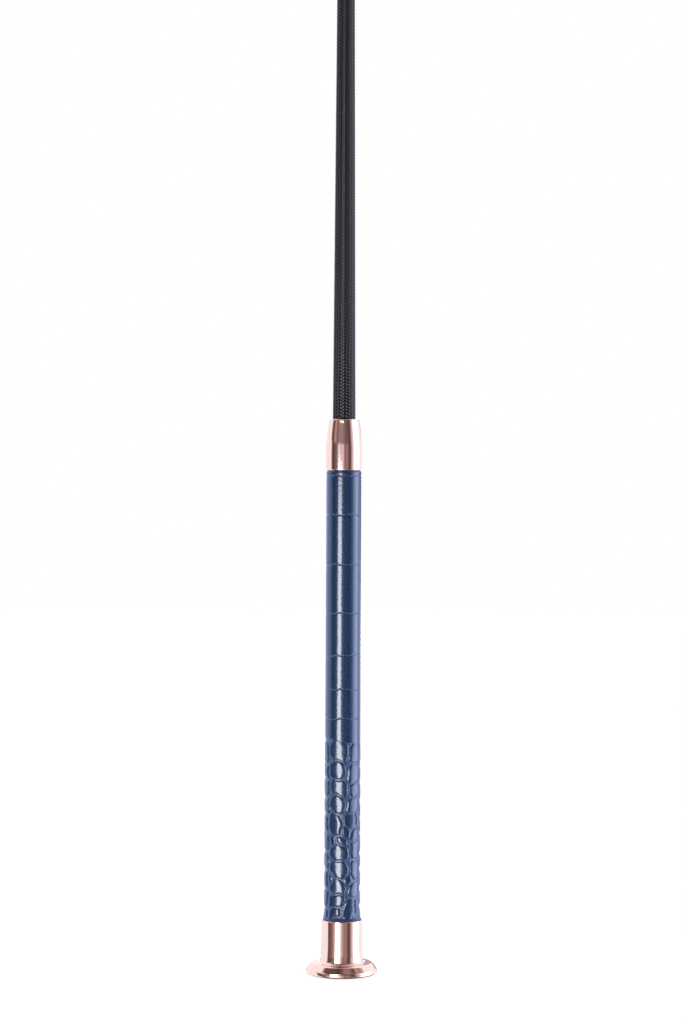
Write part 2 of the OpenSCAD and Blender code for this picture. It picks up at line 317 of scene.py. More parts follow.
# %% [markdown]
# ## The camera
#
# A long lens stands level with the middle of the picture, about a metre in front. The crop leans a
# third of a degree to the right at the top, which is a small roll of the camera.

# %% Camera
CAMERA_DISTANCE = 1.059
CAMERA_HEIGHT = 0.1955
CAMERA_LENS = 87.9
LEAN = math.radians(0.265)
SIDE_STEP = -0.94 * MM

camera = add_object("camera", bpy.data.cameras.new("camera"))
camera.data.lens = CAMERA_LENS
camera.data.sensor_width = 36
camera.data.clip_start = 0.05
camera.location = (SIDE_STEP, -CAMERA_DISTANCE, CAMERA_HEIGHT)
camera.rotation_euler = (math.radians(90), -LEAN, 0)
scene.camera = camera
print("camera at", tuple(round(c, 4) for c in camera.location))

# %% [markdown]
# ## The floor
#
# The floor is a pale sheet that only the camera sees. Most of its white is its own, and a quarter
# is real light, so the crop's soft contact shadow still shows. The metal looks past it into the
# tent, as it would on a stand above the table.

# %% Floor
def new_material(name):
    material = bpy.data.materials.new(name)
    material.use_nodes = True
    material.node_tree.nodes.clear()
    return material, material.node_tree


def make_mesh(name, bm):
    mesh = bpy.data.meshes.new(name)
    bm.to_mesh(mesh)
    bm.free()
    return mesh


def build_floor():
    bm = bmesh.new()
    bmesh.ops.create_grid(bm, x_segments=2, y_segments=2, size=4.0)
    floor = add_object("floor", make_mesh("floor", bm))
    material, tree = new_material("pale_floor")
    shaded = add_node(tree, "BsdfDiffuse", Color=(0.25, 0.25, 0.25, 1))
    glow = add_node(tree, "Emission", Strength=0.82)
    both = add_node(tree, "AddShader")
    tree.links.new(shaded.outputs[0], both.inputs[0])
    tree.links.new(glow.outputs[0], both.inputs[1])
    add_node(tree, "OutputMaterial", Surface=both.outputs[0])
    floor.data.materials.append(material)
    floor.visible_diffuse = False
    floor.visible_glossy = False
    floor.visible_transmission = False
    floor.visible_shadow = False


build_floor()
print("floor laid at z = 0")

# %% [markdown]
# ## Turned metal: the cap and the collar
#
# Both fittings are bodies of revolution, so each is one outline spun round the shaft's axis. The
# outline is a chain of arcs, and it is cut finely enough that reflections stay unbroken.

# %% Outline helpers
def arc(cx, cz, rx, rz, a0, a1, steps):
    """Points of an elliptical arc in the radius and height plane, angles in degrees."""
    angles = np.radians(np.linspace(a0, a1, steps + 1))
    return [(cx + rx * math.cos(a), cz + rz * math.sin(a)) for a in angles]


def round_arc(cx, cz, radius, a0, a1, steps):
    return arc(cx, cz, radius, radius, a0, a1, steps)


def straight(radius, z0, z1):
    """Points just inside both ends of an upright wall, which keep its shading flat."""
    return [(radius, z0 + 0.15 * MM), (radius, z1 - 0.15 * MM)]


def mesh_piece(name, bm):
    """A smooth piece of this mesh, with its faces turned outward."""
    bmesh.ops.recalc_face_normals(bm, faces=bm.faces)
    mesh = make_mesh(name, bm)
    mesh.shade_smooth()
    return add_object(name, mesh)


def spin_outline(name, outline, steps=192):
    """Spins a (radius, height) outline into a closed body; points on the axis are merged."""
    bm = bmesh.new()
    verts = [bm.verts.new((r, 0, z)) for r, z in outline]
    edges = [bm.edges.new(pair) for pair in zip(verts, verts[1:])]
    if outline[0][0] > 0:
        edges.append(bm.edges.new((verts[-1], verts[0])))
    bmesh.ops.spin(bm, geom=verts + edges, cent=(0, 0, 0), axis=(0, 0, 1), angle=2 * math.pi,
                   steps=steps, use_merge=True)
    bmesh.ops.remove_doubles(bm, verts=bm.verts, dist=1e-7)
    return mesh_piece(name, bm)


def finish_piece(piece, material, body, slot, *nodes):
    """Gives a piece its finish and its body, and hides the solids that it stands for."""
    piece.data.materials.append(material)
    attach(piece, body)
    if nodes:
        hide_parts(*nodes)
    print("%s: %d faces" % (piece.name, len(piece.data.polygons)))


# %% Rose-gold plating
def principled(tree, **values):
    """A Principled BSDF wired to an output, each named socket set or linked."""
    shader = add_node(tree, "BsdfPrincipled", **values)
    add_node(tree, "OutputMaterial", Surface=shader.outputs[0])


def plated_metal():
    material, tree = new_material("rose_gold_plating")
    noise = add_node(tree, "TexNoise", Vector=object_coords(tree), Scale=900.0, Detail=3.0)
    wear = add_node(tree, "MapRange", Value=noise.outputs["Fac"], To_Min=0.03, To_Max=0.07)
    principled(tree, Metallic=1.0, Base_Color=(0.93, 0.66, 0.60, 1), Roughness=wear.outputs["Result"])
    return material


rose_gold = plated_metal()

# %% The mushroom cap
CAP_HEIGHT = leather_lo.z
FLANGE_R = cap_hi.x
END_FACE_R = 12.3 * MM
RIM_ROUND = 1.3 * MM
RIM_BAND = 0.2 * MM
CREST_R = 12.6 * MM
CREST_Z = 5.0 * MM
SHOULDER_TURN = 41
SHOULDER_LOW_R = 2.3 * MM
SHOULDER_TOP_R = 1.47 * MM
FILLET_R = 1.2 * MM
NECK_R = 8.65 * MM
NECK_FOOT_R = 9.1 * MM
NECK_STRAIGHT = 10 * MM
NECK_EDGE = 0.3 * MM
CREST_TURN = 85
SOCKET_R = 5.4 * MM
SOCKET_DEPTH = 2 * MM


def cap_outline():
    rim_z = RIM_ROUND + RIM_BAND
    foot_z = CREST_Z + FILLET_R
    flare_z = CAP_HEIGHT - NECK_STRAIGHT
    flare = []
    for t in np.linspace(0, 1, 17)[1:]:
        flare.append((NECK_FOOT_R - (NECK_FOOT_R - NECK_R) * (1 - (1 - t) ** 2),
                      foot_z + (flare_z - foot_z) * t))
    top_x = CREST_R - SHOULDER_TOP_R * math.cos(math.radians(CREST_TURN))
    top_z = CREST_Z - SHOULDER_TOP_R * math.sin(math.radians(CREST_TURN))
    floor_z = CAP_HEIGHT - SOCKET_DEPTH
    return ([(0, 0)]
            + arc(END_FACE_R, RIM_ROUND, FLANGE_R - END_FACE_R, RIM_ROUND, -90, 0, 20)
            + round_arc(FLANGE_R - SHOULDER_LOW_R, rim_z, SHOULDER_LOW_R, 0, SHOULDER_TURN, 12)
            + round_arc(top_x, top_z, SHOULDER_TOP_R, SHOULDER_TURN, CREST_TURN, 14)
            + round_arc(NECK_FOOT_R + FILLET_R, foot_z, FILLET_R, 270, 180, 14)
            + flare
            + straight(NECK_R, flare_z, CAP_HEIGHT - NECK_EDGE)
            + round_arc(NECK_R - NECK_EDGE, CAP_HEIGHT - NECK_EDGE, NECK_EDGE, 0, 90, 6)
            + [(SOCKET_R, CAP_HEIGHT), (SOCKET_R, floor_z), (0, floor_z)])


cap = spin_outline("mushroom_cap", cap_outline())
finish_piece(cap, rose_gold, "crop", "plated_metal", "end_cap")

# %% The collar
COLLAR_R = collar_hi.x
COLLAR_NOSE_R = 6.4 * MM
COLLAR_CURVE = 15 * MM
COLLAR_EDGE = 0.5 * MM
COLLAR_BORE_R = 4.72 * MM


def collar_outline():
    z0, z1 = collar_lo.z, collar_hi.z
    drop = COLLAR_R - COLLAR_NOSE_R
    bow = (COLLAR_CURVE ** 2 + drop ** 2) / (2 * drop)
    end_angle = math.degrees(math.asin((COLLAR_CURVE - COLLAR_EDGE) / bow))
    end_r = COLLAR_R - bow * (1 - math.cos(math.radians(end_angle)))
    return (round_arc(COLLAR_R - COLLAR_EDGE, z0 + COLLAR_EDGE, COLLAR_EDGE, -90, 0, 8)
            + straight(COLLAR_R, z0 + COLLAR_EDGE, z1 - COLLAR_CURVE)
            + round_arc(COLLAR_R - bow, z1 - COLLAR_CURVE, bow, 0, end_angle, 30)
            + round_arc(end_r - COLLAR_EDGE, z1 - COLLAR_EDGE, COLLAR_EDGE, 0, 90, 8)
            + [(COLLAR_BORE_R, z1), (COLLAR_BORE_R, z0)])


collar = spin_outline("collar_sleeve", collar_outline())
finish_piece(collar, rose_gold, "crop", "plated_metal", "collar")

# %% [markdown]
# ## The embossed grip
#
# The grip is one sheet of leather rolled round a tube. A heated roller has pressed a reptile
# pattern into it: long belly bars in the upper half, then rounded flank scales that sit like
# cobbles in a net of furrows. Bump alone looks painted on at the edge of the grip, so the pattern
# is real relief. A fine tube is spun, and each of its points moves in or out by a height that is
# worked out on the flattened sheet, in millimetres round and along the grip.

# %% Scales on the flattened sheet
GRIP_Z0 = leather_lo.z
GRIP_Z1 = leather_hi.z
GRIP_LOW_R = 7.6 * MM
GRIP_TOP_R = 7.43 * MM
GRIP_WAIST = 0.05 * MM
SHEET_R = 7.4
BAR_START = 98.7

# Creases between the belly bars: height at the front and rise per mm round the grip
BAR_CREASES = [
    (98.7, -0.14), (108.4, 0.02), (120.8, 0.0), (135.1, 0.07), (152.9, 0.01),
    (173.4, 0.02), (194.4, -0.01), (210.8, 0.0),
]
# Scales of the lower half that face the front, in mm and degrees: distance round, height,
# half width, half height and lean
FRONT_SCALES = [
    (-1.7, 94.6, 4.3, 3.9, -9), (-2.5, 86.5, 3.4, 3.6, 14), (-1.7, 79.3, 3.8, 3.1, -14),
    (-2.1, 72.3, 3.2, 3.5, 24), (-3.6, 63.8, 2.7, 4.3, 16), (-4.6, 57.0, 1.7, 1.6, 0),
    (-0.2, 57.1, 2.0, 1.5, 8), (-1.6, 52.0, 3.7, 3.0, 0), (-1.8, 44.9, 4.0, 3.2, 6),
    (-2.0, 37.3, 3.4, 2.9, 0), (-3.0, 31.7, 3.5, 2.3, 16), (-4.0, 26.4, 2.9, 1.7, 22),
    (6.3, 94.0, 2.9, 4.1, 0), (6.0, 85.3, 3.2, 3.8, 8), (6.3, 78.4, 3.1, 2.7, 0),
    (5.9, 71.9, 3.2, 3.1, 14), (3.5, 65.6, 2.9, 2.7, -24), (2.0, 60.6, 1.8, 2.0, -10),
    (8.6, 66.0, 1.9, 4.0, 0), (6.5, 59.3, 2.3, 2.2, -20), (6.7, 52.8, 2.7, 3.7, 0),
    (7.0, 44.4, 2.8, 4.0, 6), (2.6, 40.5, 1.3, 1.7, 10), (-5.6, 41.0, 1.2, 1.7, -10),
    (6.4, 36.4, 2.8, 3.0, 10), (3.0, 28.3, 2.3, 3.6, -10), (8.2, 29.0, 2.1, 3.4, 0),
    (-9.3, 94.0, 2.3, 4.0, 0), (-9.0, 86.0, 2.1, 2.9, 8), (-8.7, 79.0, 2.0, 3.3, 0),
    (-8.9, 71.6, 2.3, 3.2, -8), (-9.4, 64.0, 2.0, 3.5, 0), (-9.0, 56.2, 2.2, 3.4, 8),
    (-8.8, 48.4, 1.9, 3.4, 0), (-9.2, 40.6, 2.2, 3.4, 0), (-9.4, 32.5, 2.1, 3.5, 8),
    (-9.0, 26.2, 1.9, 1.9, 0),
]
# Columns of scales on the side that faces away: distance round and half width
BACK_COLUMNS = [(-15.4, 3.2), (-22.4, 3.1), (-29.2, 3.0), (-34.6, 1.7)]
UPPER_BACK_COLUMNS = [(-18.6, 3.6), (-26.6, 3.5), (-33.6, 2.6)]
LOWEST_BACK_SCALE = 21
BACK_GAP = 0.4
UPPER_BACK_GAP = 0.45


def back_scales(rng):
    """Columns of flank scales for the side that faces away, each a little different."""
    scales = []
    for column, half_width in BACK_COLUMNS:
        z = BAR_START - 1.5 + rng.uniform(0, 3)
        while z > LOWEST_BACK_SCALE:
            half_height = rng.uniform(2.5, 4.1)
            z -= half_height + BACK_GAP
            across = column + rng.uniform(-0.4, 0.4)
            scales.append((across, z, half_width, half_height, rng.uniform(-12, 12)))
            z -= half_height + BACK_GAP
    return scales


def upper_back_scales(rng):
    """Squarer scales that close the gap behind the belly bars."""
    scales = []
    for (low, _), (high, _) in zip(BAR_CREASES, BAR_CREASES[1:]):
        half_height = (high - low) / 2 - UPPER_BACK_GAP
        for column, half_width in UPPER_BACK_COLUMNS:
            middle = (low + high) / 2 + rng.uniform(-0.5, 0.5)
            scales.append((column, middle, half_width, half_height, 0))
    return scales


print("%d scales face the front" % len(FRONT_SCALES))

# %% Sizes of the relief
# In mm, but for the two shares TOP_FLATNESS and BORDER_SLOPE. Each scale grows past its own oval
# by at most this, or to its neighbour's furrow
SCALE_GROWTH = 0.55
FURROW_HALF_WIDTH = 0.26
FURROW_DEPTH = 0.30
SCALE_SINK = 0.10
DOME_HEIGHT = 0.20
DOME_WIDTH = 1.6
TOP_FLATNESS = 0.28
# The thin ribs in the furrows: half width, height and distance outside a scale
RIB_WIDTH = 0.16
RIB_HEIGHT = 0.12
RIB_DISTANCE = 1.25
CREASE_DEPTH = 0.17
CREASE_REACH = 0.42
# Where the belly bars end round the side, and the width of the border there
BAR_END = -14.2
BAR_BORDER = 1.2
BORDER_SLOPE = -0.14
print("furrows %.2f mm deep, creases %.2f mm" % (FURROW_DEPTH + SCALE_SINK, CREASE_DEPTH))

# %% Where the seam runs
SEAM_TURNS = [(GRIP_Z0 / MM, 112.0), (141.0, 90.0), (GRIP_Z1 / MM, 72.0)]


def seam_angle(z_mm):
    """Angle of the seam from the front towards +X, in degrees: it winds slowly round the grip."""
    heights, angles = zip(*SEAM_TURNS)
    return np.interp(z_mm, heights, angles)


print("seam at %.0f degrees half way up" % seam_angle((GRIP_Z0 + GRIP_Z1) / 2 / MM))


# %% Distances to the scales
def wrap(across):
    """Brings a distance round the sheet to within half a turn of the front."""
    return (across + math.pi * SHEET_R) % (2 * math.pi * SHEET_R) - math.pi * SHEET_R


def nearest_two(across, along, scales, power):
    """Signed distances in mm to the edges of the nearest two scales, negative inside, and how far
    the round grip bows out over the nearest one's width."""
    first = np.full(across.shape, 99.0)
    second = np.full(across.shape, 99.0)
    bow = np.zeros(across.shape)
    for s, z, half_width, half_height, lean in scales:
        turn = wrap(across - s)
        up = along - z
        c, n = math.cos(math.radians(lean)), math.sin(math.radians(lean))
        field = (np.abs((turn * c + up * n) / half_width) ** power
                 + np.abs((up * c - turn * n) / half_height) ** power)
        distance = (field ** (1 / power) - 1) * min(half_width, half_height)
        bow = np.where(distance < first, half_width ** 2 / 2 - np.minimum(turn ** 2, half_width ** 2),
                       bow)
        second = np.minimum(second, np.maximum(first, distance))
        first = np.minimum(first, distance)
    return first, second, bow / (2 * SHEET_R)


def rise(value, low, high):
    """0 below low, 1 above high, smooth between, for numbers and arrays."""
    t = np.clip((value - low) / (high - low), 0, 1)
    return t * t * (3 - 2 * t)


# %% Height of the relief at any point of the sheet
def flank_relief(across, along, theta, scales):
    """Height and furrow mask of the rounded scales in the lower half."""
    # A slow wobble keeps the furrows from running straight; it closes on itself round the grip
    wander = 0.35 * np.sin(0.55 * along + 2 * theta) + 0.22 * np.sin(1.45 * along + 3 * theta)
    climb = 0.30 * np.sin(4 * theta + 0.4) + 0.22 * np.sin(9 * theta + 0.35 * along)
    first, second, bow = nearest_two(across + wander, along + climb, scales, 2.2)
    depth = np.minimum(SCALE_GROWTH - first, 0.5 * (second - first) - FURROW_HALF_WIDTH)
    wall = rise(depth, -0.12, 0.42)
    # The press leaves each scale's top flatter than the round grip under it
    dome = DOME_HEIGHT * (1 - (1 - np.clip(depth / DOME_WIDTH, 0, 1)) ** 2)
    dome = dome - TOP_FLATNESS * bow * wall
    rib = (np.exp(-((second - first) / RIB_WIDTH) ** 2)
           + np.exp(-((first - RIB_DISTANCE) / RIB_WIDTH) ** 2))
    height = (FURROW_DEPTH * (wall - 1) - SCALE_SINK + dome
              + RIB_HEIGHT * np.minimum(rib, 1) * (1 - wall))
    return height, 1 - rise(depth, -0.18, 0.18)


def belly_relief(across, along, scales):
    """Height and furrow mask of the long bars in the upper half."""
    back, _, _ = nearest_two(across, along, scales, 6)
    turn = wrap(across)
    line = np.full(across.shape, 99.0)
    for z, slope in BAR_CREASES:
        wobble = 0.25 * np.sin(turn * 0.55 + z) + 0.1 * np.sin(turn * 1.7 + 2 * z)
        line = np.minimum(line, np.abs(along - z - slope * turn - wobble))
    bar = np.where(turn < BAR_END, back, CREASE_REACH - line)
    border = (turn < BAR_END) & (turn > BAR_END - BAR_BORDER) & (back > 0)
    bar = np.where(border, np.maximum(BAR_END - turn, 0), bar)
    return CREASE_DEPTH * (rise(-bar, -0.38, 0.05) - 1), 1 - rise(-bar, -0.34, -0.14)


def emboss(across, along, rng):
    """Relief in mm below the bars' tops, and how far each point is a furrow."""
    flank = FRONT_SCALES + back_scales(rng)
    low_height, low_furrow = flank_relief(across, along, across / SHEET_R, flank)
    high_height, high_furrow = belly_relief(across, along, upper_back_scales(rng))
    upper = along > BAR_START + BORDER_SLOPE * wrap(across)
    return np.where(upper, high_height, low_height), np.where(upper, high_furrow, low_furrow)


# %% Rows and columns of the grip's mesh
# Columns beside the seam in degrees, and the spacing of rows in mm
SEAM_COLUMNS = [1.2, 2.4, 4.0, 6.0]
GRIP_COLUMNS = 160
SCALE_ROW = 0.27
CREASE_ROW = 0.17
PLAIN_ROW = 0.62


def column_angles():
    """Angles from the seam in degrees, close together beside it."""
    near = SEAM_COLUMNS[:-1]
    last = SEAM_COLUMNS[-1]
    middle = np.linspace(last, 360 - last, GRIP_COLUMNS - 2 * len(SEAM_COLUMNS) + 1)
    return np.array([0.0] + near + list(middle) + [360 - a for a in near[::-1]])


def row_heights():
    """Heights in mm: dense in the scales and at the creases, sparse on the plain bars."""
    rows = [GRIP_Z0 / MM]
    while rows[-1] < GRIP_Z1 / MM:
        gap = min(abs(rows[-1] + 0.2 - crease) for crease, _ in BAR_CREASES)
        step = CREASE_ROW if gap < 1.3 else PLAIN_ROW
        rows.append(rows[-1] + (SCALE_ROW if rows[-1] < BAR_START + 1.5 else step))
    rows[-1] = GRIP_Z1 / MM
    return np.array(rows)


print("%d columns, %d rows" % (len(column_angles()), len(row_heights())))

# %% The leather's thickness and its two ends
# In mm
LIP_FLARE = 0.72
LIP_HEIGHT = 2.4
EDGE_ROUND = 0.35
LEATHER_THICKNESS = 1.25
SEAM_DEPTH = 0.7
SEAM_SHOULDER = 0.12
INNER_ROWS = 9


def grip_radius_mm(z_mm):
    """Radius of the plain grip, a slim waist between its two ends."""
    t = (z_mm - GRIP_Z0 / MM) / ((GRIP_Z1 - GRIP_Z0) / MM)
    return (GRIP_LOW_R + (GRIP_TOP_R - GRIP_LOW_R) * t - GRIP_WAIST * 4 * t * (1 - t)) / MM


# %% Numbered rings and layers
def spin_tube(heights):
    """A rough tube with one ring of points per height, each point numbered by its ring."""
    bm = bmesh.new()
    row_layer = bm.verts.layers.int.new("row")
    verts = []
    for i, z in enumerate(heights):
        radius = 8 * MM if i < len(heights) - INNER_ROWS else 6 * MM
        verts.append(bm.verts.new((radius, 0, z * MM)))
        verts[-1][row_layer] = i
    edges = [bm.edges.new(pair) for pair in zip(verts, verts[1:] + verts[:1])]
    bmesh.ops.spin(bm, geom=verts + edges, cent=(0, 0, 0), axis=(0, 0, 1), angle=2 * math.pi,
                   steps=GRIP_COLUMNS, use_merge=True)
    return make_mesh("grip_tube", bm)


def edge_rounding(distance):
    """How far the outside draws in near a cut end, for a quarter-round edge."""
    return EDGE_ROUND * (1 - np.sqrt(1 - np.clip(1 - distance / EDGE_ROUND, 0, 1) ** 2))


def read_layer(mesh, name):
    """One whole-number layer of the mesh as an array; the layer is taken off."""
    values = np.empty(len(mesh.vertices), dtype=np.int32)
    mesh.attributes[name].data.foreach_get("value", values)
    mesh.attributes.remove(mesh.attributes[name])
    return values


def write_layer(mesh, name, values):
    """A layer that the materials read with an Attribute node."""
    layer = mesh.attributes.new(name, "FLOAT", "POINT")
    layer.data.foreach_set("value", values.astype(np.float32))


# %% Roll the sheet
def build_grip():
    rows = row_heights()
    heights = np.concatenate([rows, np.linspace(rows[-1], rows[0], INNER_ROWS)])
    mesh = spin_tube(heights)
    points = np.empty(len(mesh.vertices) * 3)
    mesh.vertices.foreach_get("co", points)
    points = points.reshape(-1, 3)
    row = read_layer(mesh, "row")
    step = np.degrees(np.arctan2(points[:, 1], points[:, 0])) % 360
    column = np.round(step * GRIP_COLUMNS / 360).astype(int) % GRIP_COLUMNS
    from_seam = column_angles()[column]
    z = heights[row]
    outside = row < len(rows)

    angle = (seam_angle(z) + from_seam) % 360
    across = np.radians((angle + 180) % 360 - 180) * SHEET_R
    relief, furrow = emboss(across, z, np.random.default_rng(7))
    seam_distance = np.minimum(from_seam, 360 - from_seam) * math.pi / 180 * SHEET_R
    slot = 1 - rise(seam_distance, 0.30, 0.62)
    shoulder = 1 - rise(seam_distance, 0.4, 1.3)
    relief = (relief * rise(seam_distance, 0.5, 1.3) - SEAM_SHOULDER * shoulder
              - SEAM_DEPTH * slot)
    # The relief dies out at both ends, where the sheet is pressed flat
    low_end, high_end = z - rows[0], rows[-1] - z
    calm = rise(low_end, 0.6, 1.6) * rise(high_end, 0.3, 1.0)
    flare = LIP_FLARE * (1 - np.clip(low_end / LIP_HEIGHT, 0, 1)) ** 2
    radius = (grip_radius_mm(z) + relief * calm + flare - edge_rounding(low_end)
              - edge_rounding(high_end))
    inner_radius = grip_radius_mm(z) - LEATHER_THICKNESS + flare
    radius = np.where(outside, radius, inner_radius) * MM
    turn = np.radians(angle)
    points[:, 0] = radius * np.sin(turn)
    points[:, 1] = -radius * np.cos(turn)
    points[:, 2] = z * MM
    mesh.vertices.foreach_set("co", points.ravel())

    # The dark band at the grip's foot is the cut edge's own dye. The seam's slot gets the same dark
    # colour, painted shade in the gap between the leather's two edges.
    cut = np.maximum(1 - rise(low_end, 0.25, 0.7), slot)
    write_layer(mesh, "furrow", furrow * calm)
    write_layer(mesh, "cut_edge", np.where(outside, cut, 1.0))
    bm = bmesh.new()
    bm.from_mesh(mesh)
    bpy.data.meshes.remove(mesh)
    return mesh_piece("embossed_grip", bm)


grip = build_grip()
print("the grip has %d points" % len(grip.data.vertices))

# %% [markdown]
# ## Glazed navy leather
#
# The hide is dyed deep navy and glazed: the tops of the scales are polished almost to a mirror,
# and the furrows stay matt and look lighter. The relief's own furrow mask drives both. Pores and
# hair-fine wrinkles are bump, finer than the mesh could carry.

# %% Leather grain, shared by every leather
def node_group(name, *outputs):
    """A node group with the input Scale and these outputs, its scale socket and its end node."""
    group = bpy.data.node_groups.new(name, "ShaderNodeTree")
    group.interface.new_socket("Scale", in_out="INPUT", socket_type="NodeSocketFloat")
    for output in outputs:
        group.interface.new_socket(output, in_out="OUTPUT", socket_type="NodeSocketFloat")
    start = group.nodes.new("NodeGroupInput")
    return group, start.outputs["Scale"], group.nodes.new("NodeGroupOutput")


def leather_grain_group():
    """Pores and wrinkles as a height, a slow tone and fine flecks, for every leather on the crop."""
    group, scale, end = node_group("leather_grain", "Height", "Tone", "Fleck")
    spot = object_coords(group)
    pores = add_node(group, "TexVoronoi", Vector=spot, Scale=scale)
    pore_height = math_node(group, "MULTIPLY", pores.outputs["Distance"], 0.5)
    coarse = math_node(group, "MULTIPLY", scale, 0.45)
    wrinkle = add_node(group, "TexNoise", Vector=spot, Scale=coarse, Detail=4.0, Roughness=0.65)
    feed(group, end.inputs["Height"], math_node(group, "ADD", pore_height, wrinkle.outputs["Fac"]))
    slow = math_node(group, "MULTIPLY", scale, 0.12)
    mottle = add_node(group, "TexNoise", Vector=spot, Scale=slow, Detail=3.0)
    feed(group, end.inputs["Tone"], mottle.outputs["Fac"])
    fleck = add_node(group, "TexNoise", Vector=spot, Scale=scale, Detail=1.0)
    feed(group, end.inputs["Fleck"], step_between(group, fleck.outputs["Fac"], 0.32, 0.68))
    return group


LEATHER_GRAIN = leather_grain_group()
print("leather grain:", len(LEATHER_GRAIN.nodes), "nodes")


# %% Navy leather
def use_group(tree, group, scale):
    """The outputs of a node group at this scale."""
    node = add_node(tree, "Group")
    node.node_tree = group
    node.inputs["Scale"].default_value = scale
    return node.outputs


def attribute_fac(tree, name):
    node = add_node(tree, "Attribute")
    node.attribute_name = name
    return node.outputs["Fac"]


def bump(tree, height, distance):
    return add_node(tree, "Bump", Height=height, Distance=distance, Strength=1.0).outputs["Normal"]


def fine_folds(tree, scale):
    """A net of hair-fine folds: 1 on the folds, 0 between them."""
    net = add_node(tree, "TexVoronoi", Scale=scale, Vector=object_coords(tree))
    net.feature = "DISTANCE_TO_EDGE"
    return step_between(tree, net.outputs["Distance"], 0.10, 0.02)


def navy_leather():
    material, tree = new_material("glazed_navy_leather")
    furrow = attribute_fac(tree, "furrow")
    cut = attribute_fac(tree, "cut_edge")
    grain = use_group(tree, LEATHER_GRAIN, 1500.0)
    folds = fine_folds(tree, 900.0)
    top = mix_colour(tree, grain["Fleck"], (0.001, 0.009, 0.033), (0.005, 0.026, 0.08))
    floor = mix_colour(tree, grain["Tone"], (0.001, 0.010, 0.040), (0.007, 0.034, 0.10))
    deep = mix_colour(tree, folds, floor, (0.030, 0.09, 0.22))
    dyed = mix_colour(tree, furrow, top, deep)
    pores = math_node(tree, "MULTIPLY", grain["Height"], 0.9)
    creases = math_node(tree, "MULTIPLY", math_node(tree, "MULTIPLY", folds, furrow), 1.2)
    relief = math_node(tree, "ADD", pores, creases)
    # The cut edge mask darkens the dyed cut edge at the foot and paints shade into the seam's slot.
    principled(tree, Specular_IOR_Level=0.85, Specular_Tint=(0.78, 0.88, 1.0, 1),
               Sheen_Weight=0.85, Sheen_Roughness=0.45, Sheen_Tint=(0.35, 0.45, 1.0, 1),
               Base_Color=mix_colour(tree, cut, dyed, (0.016, 0.004, 0.010)),
               Roughness=mix_node(tree, cut, mix_node(tree, furrow, 0.165, 0.40), 0.8),
               Normal=bump(tree, relief, 0.000023))
    return material


finish_piece(grip, navy_leather(), "crop", "embossed_leather", "grip_leather")

# %% [markdown]
# ## Thread
#
# Three places on the crop are thread: the grip's seam, the keeper's border and the binding at the
# tip. A stitch is a short arch that rises out of one hole and dives into the next. It is a circle
# of a few points, extruded along the arch, because there are hundreds of them. The twist of the
# thread is left to its finish.

# %% Rings and stitches
STITCH_SIDES = 8


def new_verts(geometry):
    """The points among what a bmesh operator made."""
    return [g for g in geometry if isinstance(g, bmesh.types.BMVert)]


def ring_edges(ring):
    return list({e for v in ring for e in v.link_edges})


def standing_ring(bm, sides, section_r, distance, z):
    """An upright ring of points beside the axis, to spin into a helix."""
    ring = bmesh.ops.create_circle(bm, segments=sides, radius=section_r, cap_ends=False)["verts"]
    for vert in ring:
        vert.co = Vector((distance + vert.co.x, 0, z + vert.co.y))
    return ring


def close_ends(bm, sides):
    bmesh.ops.holes_fill(bm, edges=[e for e in bm.edges if e.is_boundary], sides=sides)


def tube_along(bm, path, radii, side_hint):
    """A closed tube through the given points; side_hint keeps the ring from turning."""
    ring = bmesh.ops.create_circle(bm, segments=STITCH_SIDES, radius=1.0, cap_ends=False)["verts"]
    first_ring = ring
    corners = [v.co.copy() for v in ring]
    for i, (point, radius) in enumerate(zip(path, radii)):
        before, after = path[max(i - 1, 0)], path[min(i + 1, len(path) - 1)]
        forward = (after - before).normalized()
        side = (side_hint - forward * side_hint.dot(forward)).normalized()
        up = forward.cross(side)
        if i > 0:
            edges = [e for v in ring for e in v.link_edges if e.other_vert(v) in ring]
            grown = bmesh.ops.extrude_edge_only(bm, edges=list(set(edges)))["geom"]
            order = {}
            for v in new_verts(grown):
                for e in v.link_edges:
                    other = e.other_vert(v)
                    if other in ring:
                        order[ring.index(other)] = v
            ring = [order[k] for k in range(len(ring))]
        for v, corner in zip(ring, corners):
            v.co = point + side * (corner.x * radius) + up * (corner.y * radius)
    bmesh.ops.contextual_create(bm, geom=first_ring)
    bmesh.ops.contextual_create(bm, geom=ring)


def stitch_arch(start, end, outward, radius, sink):
    """Points and radii of one stitch that arches from start to end over the surface."""
    path, radii = [], []
    for t in np.linspace(0, 1, 7):
        lift = radius * 0.55 - (radius + sink) * (2 * t - 1) ** 4
        path.append(start.lerp(end, t) + outward * lift)
        radii.append(radius * (1 - 0.35 * abs(2 * t - 1) ** 3))
    return path, radii


# %% The grip's seam
# The seam's stitches in mm: spacing, thread, half length, slant, and how deep the ends and the
# middle lie in the pressed seam
SEAM_PITCH = 2.5
SEAM_THREAD_R = 0.26
SEAM_HALF_SPAN = 1.2
SEAM_SLANT = 0.25
SEAM_END_DEPTH = 0.24
SEAM_MIDDLE_DEPTH = 0.20


def on_grip(angle_deg, z_mm, lift_mm):
    """A point on the grip at an angle from the front and a height, and its outward normal."""
    turn = math.radians(angle_deg)
    outward = Vector((math.sin(turn), -math.cos(turn), 0))
    return outward * ((grip_radius_mm(z_mm) + lift_mm) * MM) + Vector((0, 0, z_mm * MM)), outward


